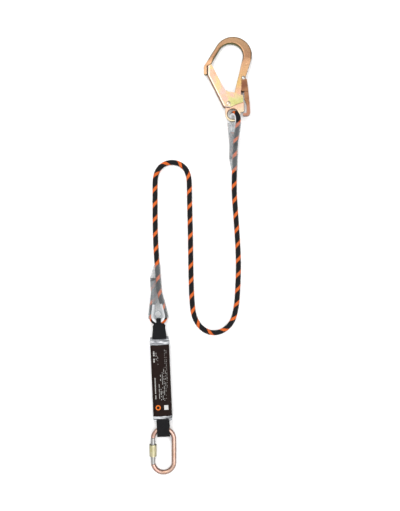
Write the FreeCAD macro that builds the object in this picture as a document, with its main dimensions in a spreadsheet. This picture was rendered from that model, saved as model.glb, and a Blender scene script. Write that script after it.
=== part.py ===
"""Shock absorbing lanyard laid out flat: scaffold hook, rope with two sewn eyes, absorber, carabiner.

The row's frame: +X to the right and +Y towards the hook on the surface that it lies on, +Z up.
"""
import FreeCAD, Part

import math
import os

import Sketcher

# ---------------------------------------------------------------- driving sizes, in mm and degrees
SIZES = (
    # rope and its two sewn eyes
    ("rope_diameter", 11.0, "kernmantle rope"),
    ("sheath_wall", 1.4, "braided sheath"),
    ("core_gap", 0.1, "between core and sheath"),
    ("eye_inner_radius", 9.5, "inside of the rope's bend round a thimble"),
    ("eye_leg_gap", 0.2, "half the gap between the sewn legs"),
    ("eye_throat", 52.0, "from the bend's centre to where the legs lie side by side"),
    ("eye_tail", 83.0, "from the bend's centre to the rope's cut end"),
    ("hook_eye_length", 112.0, "from the bend's centre to the free rope"),
    ("absorber_eye_length", 116.0, "from the bend's centre to the free rope"),
    ("thimble_wall", 1.0, "moulded thimble"),
    ("thimble_gap", 0.05, "between rope and thimble"),
    ("thimble_leg", 26.0, "from the bend's centre to the thimble's ends"),
    ("sewing_start", 27.2, "from the bend's centre to the sewing"),
    ("sewing_length", 49.0, "along the legs"),
    ("sewing_width", 9.0, "across the legs"),
    ("sewing_depth", 8.6, "through both valleys between the legs"),
    ("sleeve_wall", 0.65, "clear protective sleeve"),
    ("sleeve_gap", 0.35, "between rope or thimble and sleeve"),
    ("sleeve_window_radius", 7.2, "round window near each mouth"),
    ("hook_sleeve_mouth", 5.0, "behind the bend's centre"),
    ("hook_sleeve_window", 16.0, "behind the bend's centre"),
    ("hook_sleeve_end", 107.0, "behind the bend's centre"),
    ("absorber_sleeve_mouth", -5.0, "past the bend's centre"),
    ("absorber_sleeve_window", 4.2, "behind the bend's centre"),
    ("absorber_sleeve_end", 111.0, "behind the bend's centre"),
    # scaffold hook
    ("bowl_radius", 27.0, "inner wall of the hook's bow"),
    ("bow_radius", 41.0, "outer line of the bow"),
    ("bow_thickness", 11.0, "through the bow"),
    ("hook_thickness", 7.8, "through spine, nose and eye"),
    ("bow_edge", 3.45, "rounding of the forging"),
    ("hook_edge", 2.5, "rounding of the eye's rims"),
    ("hook_hole_radius", 11.3, "eye for the rope"),
    ("hook_ring_radius", 16.5, "outside of the eye"),
    ("gate_sheet", 2.0, "pressed sheet of the gate"),
    ("gate_side_gap", 0.45, "between forging and a pressed part's side"),
    ("gate_edge", 4.8, "rounding of the gate's back"),
    ("gate_pin_radius", 2.5, "rivet of the gate"),
    ("lever_sheet", 1.6, "pressed sheet of the lock lever"),
    ("lever_pin_radius", 2.3, "rivet of the lock lever"),
    ("lever_strip", 8.2, "through the lever's lower part"),
    ("rivet_head", 1.4, "height of a rivet head"),
    ("gate_rivet_head", 4.6, "radius of the gate rivet's heads"),
    ("lever_rivet_head", 4.0, "radius of the lever rivet's heads"),
    ("rivet_play", 0.1, "between a rivet's head and the sheet under it"),
    ("running_gap", 0.05, "radial, pin in hole"),
    ("spring_wire", 1.0, "gate spring"),
    ("spring_radius", 4.2, "gate spring, to the wire's centre"),
    ("spring_leg", 7.5, "gate spring, leg that pushes the gate"),
    ("spring_foot", 3.0, "gate spring, end that rests in the pocket"),
    ("spring_turn", 26.0, "gate spring, where its foot points"),
    ("leaf_width", 6.0, "leaf spring of the lock lever"),
    ("spring_pocket", 3.8, "depth of the pocket round the gate's rivet"),
    ("spring_well_radius", 9.9, "pocket round the gate's rivet"),
    # energy absorber
    ("pack_width", 42.7, "across the absorber"),
    ("pack_length", 181.6, "along the absorber"),
    ("pack_thickness", 25.0, "through the absorber"),
    ("pack_corner", 8.0, "rounding of the pack's long edges"),
    ("pack_start", 30.7, "from the upper hinge line to the pack"),
    ("film_wall", 0.6, "shrunk cover film"),
    ("label_wall", 0.25, "printed wrap under the film"),
    ("label_margin", 16.0, "film that shows past each end of the label"),
    ("webbing_width", 27.0, "webbing loops"),
    ("webbing_throat", 9.2, "upper loop where it is bunched inside the thimble"),
    ("webbing_thickness", 1.8, "webbing loops"),
    ("upper_loop_gap", 3.4, "from the rope to the inside of the loop round it"),
    ("lower_loop_radius", 9.7, "inside of the loop round the carabiner"),
    ("loop_insert", 25.0, "webbing legs inside the pack"),
    ("bar_distance", 17.7, "from the pack to the carabiner's bar"),
    ("loop_slack", 16.1, "inside of the lower loop past the bar's centre"),
    ("tear_width", 38.0, "folded tear webbing"),
    ("tear_thickness", 2.0, "one layer of tear webbing"),
    ("tear_pitch", 3.8, "from layer to layer"),
    ("tear_inset", 8.0, "from the pack's ends to the folds"),
    ("tack_pitch", 4.0, "from row to row of the sewing"),
    ("tack_row", 1.0, "one row of sewing"),
    ("tack_margin", 3.0, "from the webbing's edge to the sewing"),
    ("tack_height", 0.5, "sewing above the webbing"),
    # carabiner
    ("bar_radius", 5.0, "round bar"),
    ("bend_radius", 22.75, "centre line of both bows"),
    ("half_leg", 26.0, "half the straight leg"),
    ("gate_top", 28.0, "gate tube's upper end"),
    ("hinge_height", -24.5, "carabiner gate's hinge"),
    ("collar_wall", 2.4, "screw collar"),
    ("collar_top", 13.4, "screw collar's upper end at rest"),
    ("collar_length", 25.7, "screw collar"),
    ("collar_gap", 0.3, "radial, collar on the gate tube"),
    ("collar_mouth_gap", 1.3, "radial, wider bore at the collar's upper end"),
    ("collar_mouth_depth", 5.0, "wider bore at the collar's upper end"),
    ("flute_radius", 0.75, "grooves round the collar"),
    ("carabiner_pin_radius", 1.5, "hinge rivet"),
    ("latch_pin_radius", 1.25, "cross pin in the gate"),
    ("latch_drop", 3.6, "from the gate tube's upper end to the cross pin"),
    ("tongue_half", 2.1, "half the thickness of the nose and of the hinge tongue"),
    ("slot_half", 2.45, "half the width of the gate tube's slots"),
    ("plunger_bore", 2.2, "gate tube's bore, radius"),
    ("plunger_bore_depth", 24.0, "gate tube's bore"),
    ("plunger_head", 2.0, "plunger's head, radius"),
    ("plunger_head_height", 2.5, "plunger's head"),
    ("plunger_stem", 1.2, "plunger's stem, radius"),
    ("plunger_length", 12.0, "plunger"),
    ("plunger_wire", 0.3, "plunger's spring, wire radius"),
    ("plunger_coil", 1.65, "plunger's spring, to the wire's centre"),
    ("plunger_spring_pitch", 1.5, "plunger's spring"),
    ("plunger_spring_length", 18.0, "plunger's spring"),
    # places on the surface
    ("hook_end_height", 21.6, "the hook eye's bend centre above the surface"),
    ("hook_end_tilt", 61.0, "how far the hook end's loop stands up from flat"),
    ("hook_end_lean", 1.3, "hook end's rope line, from +Y towards +X"),
    ("hook_end_pitch", 6.4, "hook end's rope line, from level"),
    ("rim_angle", 15.0, "where the thimble sits on the hook's eye"),
    ("hook_pitch", 4.9, "hook's plane, from level"),
    ("absorber_end_lean", 4.4, "absorber end's rope line, from -Y towards +X"),
    ("absorber_end_pitch", 2.4, "absorber end's rope line, from level"),
    ("pack_lean", 2.5, "absorber's line, from -Y towards +X"),
)

# Free rope: its route on the surface from one sewn eye to the other, chosen by hand
ROPE_ROUTE = (
    (72.6, 147.0, 10.2),
    (74.9, 112.0, 6.6),
    (78.7, 62.0, 5.5),
    (83.0, -8.0, 5.5),
    (81.6, -66.0, 5.5),
    (78.5, -112.0, 5.5),
    (69.0, -149.0, 5.5),
    (40.0, -170.5, 5.5),
    (8.0, -166.0, 5.5),
    (-14.5, -138.0, 5.5),
    (-19.5, -98.0, 5.5),
    (-21.4, -30.0, 5.5),
    (-22.2, 40.0, 5.5),
    (-24.3, 124.0, 5.5),
    (-25.0, 181.6, 5.5),
    (-46.9, 203.2, 5.5),
    (-77.7, 203.2, 5.5),
    (-99.4, 181.3, 5.5),
    (-99.7, 130.0, 5.5),
    (-99.4, 66.0, 5.5),
    (-98.0, 20.0, 5.7),
)

doc = FreeCAD.newDocument("Lanyard")


def make_sheet():
    sheet = doc.addObject("Spreadsheet::Sheet", "Sizes")
    for row, (alias, value, note) in enumerate(SIZES, start=1):
        sheet.set(f"A{row}", alias)
        sheet.set(f"B{row}", str(value))
        sheet.set(f"C{row}", note)
        sheet.setAlias(f"B{row}", alias)
    doc.recompute()
    return sheet


SHEET = make_sheet()


def size(alias):
    return float(getattr(SHEET, alias))


def vec(x, y, z=0.0):
    return FreeCAD.Vector(x, y, z)


X_AXIS = vec(1, 0, 0)
Y_AXIS = vec(0, 1, 0)
Z_AXIS = vec(0, 0, 1)


# ---------------------------------------------------------------- outlines and paths
def rounded_curves(corners, closed=False):
    """Lines through the corners (x, y, z, radius), each corner turned with its own radius."""
    count = len(corners)
    points = [vec(*corner[:3]) for corner in corners]
    entries = [points[i] for i in range(count)]
    exits = list(entries)
    arcs = [None] * count
    for i in range(count):
        inside = closed or 0 < i < count - 1
        radius = corners[i][3]
        if not inside or radius <= 0:
            continue
        ahead = (points[(i + 1) % count] - points[i]).normalize()
        behind = (points[i] - points[i - 1]).normalize()
        half = ahead.getAngle(behind) / 2
        entries[i] = points[i] - behind * (radius * math.tan(half))
        exits[i] = points[i] + ahead * (radius * math.tan(half))
        inward = (ahead - behind).normalize()
        middle = points[i] + inward * (radius / math.cos(half) - radius)
        arcs[i] = Part.Arc(entries[i], middle, exits[i])
    curves = []
    for i in range(count):
        if arcs[i]:
            curves.append(arcs[i])
        if i == count - 1 and not closed:
            break
        start = exits[i]
        end = entries[(i + 1) % count]
        if start.distanceToPoint(end) > 1e-6:
            curves.append(Part.LineSegment(start, end))
    return curves


def flat(corners):
    """Corners (x, y, radius) or (x, y) of an outline, as corners in the XY plane."""
    return [(c[0], c[1], 0.0, c[2] if len(c) > 2 else 0.0) for c in corners]


def upright(corners):
    """Corners (y, z, radius) of an outline, as corners in the YZ plane."""
    return [(0.0, c[0], c[1], c[2] if len(c) > 2 else 0.0) for c in corners]


def tangent_corners(centre, radius, angles):
    """Corners of the lines that touch a circle at the given angles, to be turned with its radius."""
    corners = []
    for first, second in zip(angles, angles[1:]):
        half = math.radians(second - first) / 2
        middle = math.radians(first + second) / 2
        reach = radius / math.cos(half)
        x = centre[0] + reach * math.cos(middle)
        y = centre[1] + reach * math.sin(middle)
        corners.append((x, y, radius))
    return corners


def round_about(before, centre, radius, after, way):
    """Corners that lead from one point to another round a circle, way 1 anticlockwise, -1 clockwise."""
    def bearing(point):
        return math.degrees(math.atan2(point[1] - centre[1], point[0] - centre[0]))

    def reach(point):
        return math.degrees(math.acos(radius / math.hypot(point[0] - centre[0], point[1] - centre[1])))

    first = bearing(before) + way * reach(before)
    last = bearing(after) - way * reach(after)
    sweep = (way * (last - first)) % 360
    parts = math.ceil(sweep / 85)
    angles = [first + way * sweep * part / parts for part in range(parts + 1)]
    return tangent_corners(centre, radius, angles)


def wire_of(curves):
    return Part.Wire([curve.toShape() for curve in curves])


def prism(corners, direction):
    """A solid from a closed outline, extruded both ways by half of direction."""
    face = Part.Face(wire_of(rounded_curves(corners, closed=True)))
    face.translate(direction * -0.5)
    return face.extrude(direction)


def tube_along(curves, radius):
    """A round solid swept along a path of lines and arcs."""
    path = wire_of(curves)
    first = path.OrderedEdges[0]
    start = first.valueAt(first.FirstParameter)
    along = first.tangentAt(first.FirstParameter)
    section = Part.Wire(Part.Circle(start, along, radius).toShape())
    return path.makePipeShell([section], True, False)


def box_between(low, high):
    spans = [b - a for a, b in zip(low, high)]
    return Part.makeBox(*spans, vec(*low))


def cylinder(radius, length, base, axis):
    return Part.makeCylinder(radius, length, base, axis)


# ---------------------------------------------------------------- document objects
PLACES = {}


def add_shape(label, shape, place):
    """A sub-part whose shape is worked out here from the sheet's sizes."""
    own = shape.Placement
    shape.Placement = FreeCAD.Placement()
    feature = doc.addObject("Part::Feature", label)
    feature.Label = label
    feature.Shape = shape
    PLACES[label] = place.multiply(own)
    return feature


def add_body(label, place):
    body = doc.addObject("PartDesign::Body", label)
    body.Label = label
    PLACES[label] = place
    return body


def sketch_on(body, role, curves):
    """A sketch on one of the body's own origin planes."""
    plane = [item for item in body.Origin.OriginFeatures if item.Role == role][0]
    sketch = body.newObject("Sketcher::SketchObject", "Outline")
    sketch.AttachmentSupport = [(plane, "")]
    sketch.MapMode = "FlatFace"
    sketch.addGeometry(curves, False)
    return sketch


def circle_sketch(body, role, x, y, formula):
    """A sketch of one circle whose radius follows a formula on the sheet."""
    circle = Part.Circle(vec(x, y), Z_AXIS, 1.0)
    sketch = sketch_on(body, role, [circle])
    index = sketch.addConstraint(Sketcher.Constraint("Radius", 0, 1.0))
    sketch.setExpression(f"Constraints[{index}]", formula)
    return sketch


def pad(body, sketch, formula):
    """A pad to both sides of its sketch."""
    feature = body.newObject("PartDesign::Pad", "Pad")
    feature.Profile = sketch
    feature.SideType = "Symmetric"
    feature.setExpression("Length", formula)
    doc.recompute()
    return feature


def pocket(body, sketch, formula):
    """A pocket to both sides of its sketch."""
    before = body.Shape.Volume
    feature = body.newObject("PartDesign::Pocket", "Pocket")
    feature.Profile = sketch
    feature.SideType = "Symmetric"
    feature.setExpression("Length", formula)
    doc.recompute()
    if body.Shape.Volume >= before:
        raise RuntimeError(f"a pocket in {body.Label} cuts nothing")
    return feature


def face_normal(face):
    low_u, high_u, low_v, high_v = face.ParameterRange
    return face.normalAt((low_u + high_u) / 2, (low_v + high_v) / 2)


def rim_edges(shape, wanted):
    """Names of the edges between a front or back face and a side face that is wanted."""
    names = []
    for number, edge in enumerate(shape.Edges, start=1):
        faces = shape.ancestorsOfType(edge, Part.Face)
        level = [abs(face_normal(face).z) > 0.9 for face in faces]
        if sum(level) == 1 and wanted(edge.CenterOfMass):
            names.append(f"Edge{number}")
    return names


def fillet(body, names, formula):
    base = body.Tip
    feature = body.newObject("PartDesign::Fillet", "Fillet")
    feature.Base = (base, names)
    feature.setExpression("Radius", formula)
    doc.recompute()
    return feature


def add_rivet(label, x, y, radius, half_grip, head_radius, place):
    """A rivet along Z with a low domed head at each end."""
    head = size("rivet_head")
    shank = cylinder(radius, 2 * half_grip, vec(x, y, -half_grip), Z_AXIS)
    dome = (head_radius ** 2 + head ** 2) / (2 * head)
    pieces = []
    for side in (1, -1):
        ball = Part.makeSphere(dome, vec(x, y, side * (half_grip + head - dome)))
        slab = cylinder(head_radius, head, vec(x, y, side * half_grip), Z_AXIS * side)
        pieces.append(ball.common(slab))
    return add_shape(label, shank.multiFuse(pieces).removeSplitter(), place)


# ---------------------------------------------------------------- where the groups lie
ROPE_RADIUS = size("rope_diameter") / 2
# centre line of the rope round a thimble, and of each sewn leg beside the eye's middle
EYE_BEND = size("eye_inner_radius") + ROPE_RADIUS
EYE_OFFSET = ROPE_RADIUS + size("eye_leg_gap")
UPPER_LOOP = ROPE_RADIUS + size("upper_loop_gap")


def turned(axis, angle):
    return FreeCAD.Rotation(axis, angle)


def hook_rim():
    """Centre of the eye's ring where the thimble sits, in the hook's frame."""
    middle = (size("hook_hole_radius") + size("hook_ring_radius")) / 2
    angle = math.radians(size("rim_angle"))
    return vec(middle * math.sin(angle), -middle * math.cos(angle))


# the hook's bend centre and the absorber's hinge line, on the surface
HOOK_BEND = vec(73.1, 291.8, size("hook_end_height"))
ABSORBER_HINGE = vec(-91.0, -146.3, size("pack_thickness") / 2)

HOOK_END = FreeCAD.Placement(
    HOOK_BEND,
    turned(Z_AXIS, -size("hook_end_lean"))
    .multiply(turned(X_AXIS, size("hook_end_pitch")))
    .multiply(turned(Y_AXIS, -size("hook_end_tilt"))),
)
HOOK_TURN = turned(X_AXIS, -size("hook_pitch"))
HOOK = FreeCAD.Placement(HOOK_BEND - HOOK_TURN.multVec(hook_rim()), HOOK_TURN)
ABSORBER_TURN = (
    turned(Z_AXIS, size("absorber_end_lean"))
    .multiply(turned(X_AXIS, 180 - size("absorber_end_pitch")))
)
ABSORBER_END = FreeCAD.Placement(
    ABSORBER_HINGE - ABSORBER_TURN.multVec(vec(0, EYE_BEND)), ABSORBER_TURN
)
PACK_TURN = turned(Z_AXIS, size("pack_lean"))
PACK = FreeCAD.Placement(ABSORBER_HINGE, PACK_TURN)
BAR_Y = -(size("pack_start") + size("pack_length") + size("bar_distance"))
BOW_Y = size("half_leg") + size("bend_radius")
CARABINER_BAR = PACK.multVec(vec(0, BAR_Y))
CARABINER_PITCH = math.degrees(math.asin((CARABINER_BAR.z - size("bar_radius")) / (2 * BOW_Y)))
CARABINER_TURN = turned(X_AXIS, CARABINER_PITCH)
CARABINER = FreeCAD.Placement(CARABINER_BAR - CARABINER_TURN.multVec(vec(0, BOW_Y)), CARABINER_TURN)
LEVEL = FreeCAD.Placement()


# ---------------------------------------------------------------- rope, eyes and sleeves
def leg_slant():
    """Angle by which each leg of an eye leans in towards the throat, in degrees."""
    offset = EYE_OFFSET
    throat = size("eye_throat")
    span = math.hypot(offset, throat)
    return math.degrees(math.asin(EYE_BEND / span) - math.atan2(offset, throat))


def leg_distance(station):
    """Half the distance between the legs' centre lines, this far behind the bend's centre."""
    bend = EYE_BEND
    slant = math.radians(leg_slant())
    if station <= 0:
        return bend
    if station >= size("eye_throat"):
        return EYE_OFFSET
    return (bend - station * math.sin(slant)) / math.cos(slant)


def bend_corners(leg):
    """Corners of an eye's centre line round the bend, with both legs cut at this station."""
    slant = leg_slant()
    bend = tangent_corners((0, 0), EYE_BEND, (180 + slant, 120, 60, -slant))
    reach = leg_distance(leg)
    return [(-reach, -leg, 0.0), *bend, (reach, -leg, 0.0)]


def eye_curves(length):
    """Centre line of a sewn eye, from the tail's cut end round the bend to the free rope."""
    slant = leg_slant()
    offset = EYE_OFFSET
    throat = size("eye_throat")
    bend = tangent_corners((0, 0), EYE_BEND, (180 + slant, 120, 60, -slant))
    corners = [(-offset, -size("eye_tail"), 0.0), (-offset, -throat, 60.0), *bend]
    corners += [(offset, -throat, 60.0), (offset, -length, 0.0)]
    return rounded_curves(flat(corners))


def make_eye(end, length, place):
    """The rope's eye at one end: sheath, core, thimble and sewing."""
    curves = eye_curves(length)
    bore = ROPE_RADIUS - size("sheath_wall")
    whole = tube_along(curves, ROPE_RADIUS)
    sheath = whole.cut(tube_along(curves, bore))
    core = tube_along(curves, bore - size("core_gap"))
    add_shape(f"{end}_eye_sheath", sheath, place)
    add_shape(f"{end}_eye_core", core, place)

    inner = ROPE_RADIUS + size("thimble_gap")
    outer = inner + size("thimble_wall")
    cradle = bend_corners(size("thimble_leg"))
    path = rounded_curves(flat(cradle))
    groove = tube_along(path, outer).cut(tube_along(path, inner))
    hollow = prism(flat(cradle), vec(0, 0, 3 * outer))
    add_shape(f"{end}_thimble", groove.common(hollow), place)

    half = size("sewing_width") / 2
    deep = size("sewing_depth") / 2
    start = size("sewing_start")
    end_y = start + size("sewing_length")
    bar = box_between((-half, -end_y, -deep), (half, -start, deep))
    strips = [s for s in bar.cut(whole).Solids if s.BoundBox.ZLength > 1.0]
    sewing = Part.Compound(strips)
    add_shape(f"{end}_stitching", sewing, place)


def stadium(shift, reach, radius, station):
    """A long-hole section across the rope's line."""
    left = shift - reach
    right = shift + reach
    y = -station
    curves = [
        Part.LineSegment(vec(left, y, radius), vec(right, y, radius)),
        Part.Arc(vec(right, y, radius), vec(right + radius, y, 0), vec(right, y, -radius)),
        Part.LineSegment(vec(right, y, -radius), vec(left, y, -radius)),
        Part.Arc(vec(left, y, -radius), vec(left - radius, y, 0), vec(left, y, radius)),
    ]
    return wire_of(curves)


def sleeve_solid(mouth, end, grow):
    """The sleeve's inside, or its outside when grown by the wall."""
    gap = size("sleeve_gap")
    wide = ROPE_RADIUS + size("thimble_gap") + size("thimble_wall") + gap + grow
    narrow = ROPE_RADIUS + gap + grow
    shift = EYE_OFFSET
    stations = (
        (mouth, 0.0, leg_distance(mouth), wide),
        (size("thimble_leg"), 0.0, leg_distance(size("thimble_leg")), wide),
        (size("eye_throat"), 0.0, shift, narrow),
        (size("eye_tail"), 0.0, shift, narrow),
        (end, shift, 0.3, narrow),
    )
    sections = [stadium(s, reach, radius, station) for station, s, reach, radius in stations]
    return Part.makeLoft(sections, True, True)


def make_sleeve(end, mouth, window, length, place):
    wall = size("sleeve_wall")
    shell = sleeve_solid(mouth, length, wall).cut(sleeve_solid(mouth, length, 0.0))
    if end == "absorber_end":
        side = -1
    else:
        side = 1
    hole = cylinder(size("sleeve_window_radius"), 3 * ROPE_RADIUS, vec(0, -window), Z_AXIS * side)
    add_shape(f"{end}_sleeve", shell.cut(hole), place)


def rope_exit(place, length):
    """Where the free rope starts, just clear of a sewn eye's end."""
    return place.multVec(vec(EYE_OFFSET, -length - 0.1))


def make_free_rope():
    """The rope between its eyes, and a check of its length and bends."""
    start = rope_exit(HOOK_END, size("hook_eye_length"))
    end = rope_exit(ABSORBER_END, size("absorber_eye_length"))
    print("free rope: from", tuple(round(v, 2) for v in start), "to", tuple(round(v, 2) for v in end))
    points = [start, *[vec(*point) for point in ROPE_ROUTE], end]
    corners = []
    radii = []
    for i, point in enumerate(points):
        radius = 0.0
        if 0 < i < len(points) - 1:
            behind = point - points[i - 1]
            ahead = points[i + 1] - point
            half = ahead.getAngle(behind) / 2
            radius = 0.45 * min(ahead.Length, behind.Length) / math.tan(half)
            radii.append(radius)
        corners.append((*point, radius))
    curves = rounded_curves(corners)
    bore = ROPE_RADIUS - size("sheath_wall")
    whole = tube_along(curves, ROPE_RADIUS)
    add_shape("rope_sheath", whole.cut(tube_along(curves, bore)), LEVEL)
    add_shape("rope_core", tube_along(curves, bore - size("core_gap")), LEVEL)
    length = wire_of(curves).Length
    section = math.pi * ROPE_RADIUS ** 2
    print("free rope: length %.1f mm, volume over section times length %.5f"
          % (length, whole.Volume / (section * length)))
    print("free rope: arc radii", " ".join("%.0f" % radius for radius in radii))


# ---------------------------------------------------------------- scaffold hook
EYE_CENTRE = (0.0, 0.0)
BOWL_CENTRE = (-4.6, 129.5)
BOW_CENTRE = (0.9, 131.0)
GATE_PIN = (-9.5, 22.5)
LEVER_PIN = (23.1, 79.35)
# the gate's back: where its straight upper part turns into the slope, and the slope's foot
GATE_BACK = (-55.2, 85.0)
GATE_FOOT = (-20.2, 13.6)
GATE_LOBE = 9.0
SPRING_SPACE = 0.12
# where both faces are ground thinner, along the hook: start, foot of the slope, end of the slope
RELIEF = (-30.0, 112.0, 126.0)


def hook_outline():
    """The forging, from the nose along the inside, round the eye and back along the outside."""
    nose_in = (-46.7, 111.4, 2.6)
    spine_in = (2.4, 42.0, 4.0)
    above_lobe = (-4.0, 34.0, 2.0)
    below_lobe = (-16.2, 12.4, 3.0)
    shoulder_in = (16.9, 4.0, 1.2)
    spine_out = (18.0, 51.0, 20.0)
    nib_top = (-62.8, 105.2, 4.0)
    ring = size("hook_ring_radius")
    return [
        nose_in,
        *round_about(nose_in, BOWL_CENTRE, size("bowl_radius"), spine_in, -1),
        spine_in,
        above_lobe,
        *round_about(above_lobe, GATE_PIN, GATE_LOBE, below_lobe, 1),
        below_lobe,
        *round_about(below_lobe, EYE_CENTRE, ring, shoulder_in, 1),
        shoulder_in,
        (24.2, 4.0, 3.0),
        (24.2, 25.0, 5.0),
        (18.2, 40.0, 9.0),
        spine_out,
        *round_about(spine_out, BOW_CENTRE, size("bow_radius"), nib_top, 1),
        nib_top,
        (-62.8, 88.6, 3.4),
        (-56.0, 84.6, 2.6),
        (-56.0, 105.8, 0.8),
    ]


def rounded_prism(corners, thickness, radius):
    """A plate of this outline with the edges of its front and back rounded."""
    plate = prism(flat(corners), vec(0, 0, thickness))
    edges = [plate.getElement(name) for name in rim_edges(plate, lambda point: True)]
    return plate.makeFillet(radius, edges)


def make_hook_body():
    """One forging: as thick as the bow, and ground thinner on both faces below the bow."""
    thin = size("hook_thickness")
    thick = size("bow_thickness")
    forging = rounded_prism(hook_outline(), thick, size("bow_edge"))
    low, slope, high = RELIEF
    for side in (1, -1):
        relief = [
            (low, side * thin / 2),
            (slope, side * thin / 2, 20.0),
            (high, side * (thick / 2 + 0.3)),
            (high, side * thick),
            (low, side * thick),
        ]
        forging = forging.cut(prism(upright(relief), vec(4 * size("bow_radius"), 0, 0)))
    eye = cylinder(size("hook_hole_radius"), 2 * thick, vec(0, 0, -thick), Z_AXIS)
    forging = forging.cut(eye)
    ring = [forging.getElement(name) for name in eye_edges(forging)]
    forging = forging.makeFillet(size("hook_edge"), ring)
    gate_hole = cylinder(size("gate_pin_radius"), 2 * thick, vec(*GATE_PIN, -thick), Z_AXIS)
    lever_hole = cylinder(size("lever_pin_radius"), 2 * thick, vec(*LEVER_PIN, -thick), Z_AXIS)
    floor = thin / 2 - size("spring_pocket")
    well = cylinder(size("spring_well_radius"), thick, vec(*GATE_PIN, floor), Z_AXIS)
    for hole in (gate_hole, lever_hole, well):
        forging = forging.cut(hole)
    add_shape("hook_body", forging, HOOK)


def eye_edges(shape):
    """Names of the round edges at both ends of the hook's eye."""
    hole = size("hook_hole_radius")
    names = []
    for number, edge in enumerate(shape.Edges, start=1):
        circle = getattr(edge, "Curve", None)
        if isinstance(circle, Part.Circle) and abs(circle.Radius - hole) < 0.01:
            if circle.Center.distanceToPoint(vec(0, 0, circle.Center.z)) < 0.01:
                names.append(f"Edge{number}")
    return names


def gate_outline():
    return [
        (GATE_BACK[0], 105.0),
        (*GATE_BACK, 9.0),
        (*GATE_FOOT, 7.0),
        (-8.0, 12.4),
        (6.0, 20.0, 40.0),
        (22.2, 25.5, 2.0),
        (22.2, 40.2, 2.5),
        (1.5, 47.2, 16.0),
        (-15.3, 47.6, 20.0),
        (-46.4, 109.4),
    ]


def make_hook_gate():
    body = add_body("hook_gate", HOOK)
    outline = sketch_on(body, "XY_Plane", rounded_curves(flat(gate_outline()), closed=True))
    inner = "Sizes.hook_thickness + 2 * Sizes.gate_side_gap"
    pad(body, outline, inner + " + 2 * Sizes.gate_sheet")

    def on_back(point):
        """Whether a point lies on the gate's back, away from the bowl."""
        back = vec(*GATE_BACK)
        slope = (vec(*GATE_FOOT) - back).normalize()
        beside = (vec(point.x, point.y) - back).cross(slope).Length
        on_upper = abs(point.x - back.x) < 0.5 and point.y > back.y - 5
        on_slope = beside < 2.5 and GATE_FOOT[1] + 2.4 < point.y <= back.y + 1
        return on_upper or on_slope

    fillet(body, rim_edges(body.Shape, on_back), "Sizes.gate_edge")
    wall = size("gate_sheet")
    channel = [
        (GATE_BACK[0] + wall, 120.0),
        (GATE_BACK[0] + wall, GATE_BACK[1] + 0.5 * wall, 7.0),
        (-17.0, 11.5),
        (-14.0, 0.0),
        (40.0, 0.0),
        (40.0, 120.0),
    ]
    pocket(body, sketch_on(body, "XY_Plane", rounded_curves(flat(channel), closed=True)), inner)
    hole = "Sizes.gate_pin_radius + Sizes.running_gap"
    pocket(body, circle_sketch(body, "XY_Plane", *GATE_PIN, hole), "Sizes.bow_thickness * 2")


def make_gate_spring():
    """Torsion spring in the pocket round the gate's rivet, with a leg along the gate's inside."""
    wire = size("spring_wire") / 2
    coil = Part.makeHelix(2 * wire + SPRING_SPACE, 2 * (2 * wire + SPRING_SPACE), size("spring_radius"))
    first = coil.Edges[0]
    last = coil.Edges[-1]
    start = first.valueAt(first.FirstParameter)
    along = first.tangentAt(first.FirstParameter)
    end = last.valueAt(last.LastParameter)
    heel = start - along * size("spring_foot")
    foot = Part.LineSegment(heel, start).toShape()
    leg = Part.LineSegment(end, end + last.tangentAt(last.LastParameter) * size("spring_leg")).toShape()
    section = Part.Wire(Part.Circle(heel, along, wire).toShape())
    spring = Part.Wire([foot, *coil.Edges, leg]).makePipeShell([section], True, True)
    floor = size("hook_thickness") / 2 - size("spring_pocket")
    spring.rotate(vec(0, 0), Z_AXIS, size("spring_turn"))
    spring.translate(vec(*GATE_PIN, floor + wire + 4 * SPRING_SPACE))
    add_shape("hook_gate_spring", spring, HOOK)


def lever_plate():
    foot = (18.7, 49.9)
    step = (28.2, 76.6, 1.0)
    return [
        foot,
        *round_about(foot, LEVER_PIN, 4.4, step, -1),
        step,
        (30.8, 75.2, 1.0),
        (33.7, 49.9),
    ]


def lever_strip():
    return [
        (24.9, 51.5),
        (24.9, 34.0, 8.0),
        (29.9, 20.5, 8.0),
        (29.9, 1.9, 3.0),
        (22.0, 1.4, 1.5),
        (21.6, -3.6, 1.5),
        (37.9, -5.6, 8.0),
        (36.6, 20.0, 60.0),
        (33.5, 51.5),
    ]


def make_lock_lever():
    body = add_body("hook_lock_lever", HOOK)
    inner = "Sizes.hook_thickness + 2 * Sizes.gate_side_gap"
    plate = sketch_on(body, "XY_Plane", rounded_curves(flat(lever_plate()), closed=True))
    pad(body, plate, inner + " + 2 * Sizes.lever_sheet")
    strip = sketch_on(body, "XY_Plane", rounded_curves(flat(lever_strip()), closed=True))
    pad(body, strip, "Sizes.lever_strip")
    wall = size("lever_sheet")
    channel = [
        (0.0, 40.0),
        (22.6, 40.0),
        (22.6, 51.5),
        (33.5 - wall, 51.5),
        (30.8 - wall, 74.6, 1.0),
        (27.9, 90.0),
        (0.0, 90.0),
    ]
    pocket(body, sketch_on(body, "XY_Plane", rounded_curves(flat(channel), closed=True)), inner)
    hole = "Sizes.lever_pin_radius + Sizes.running_gap"
    pocket(body, circle_sketch(body, "XY_Plane", *LEVER_PIN, hole), "Sizes.bow_thickness * 2")


def make_lever_spring():
    """Leaf spring on the lever's inside, bowed towards the spine."""
    bend = [
        (28.1, 73.0), (29.0, 66.0, 8.0), (24.3, 58.5, 4.0), (26.6, 53.5),
        (27.3, 53.9), (25.4, 58.6, 3.2), (29.8, 65.8, 8.8), (28.9, 73.0),
    ]
    leaf = prism(flat(bend), vec(0, 0, size("leaf_width")))
    add_shape("hook_lever_spring", leaf, HOOK)


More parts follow.
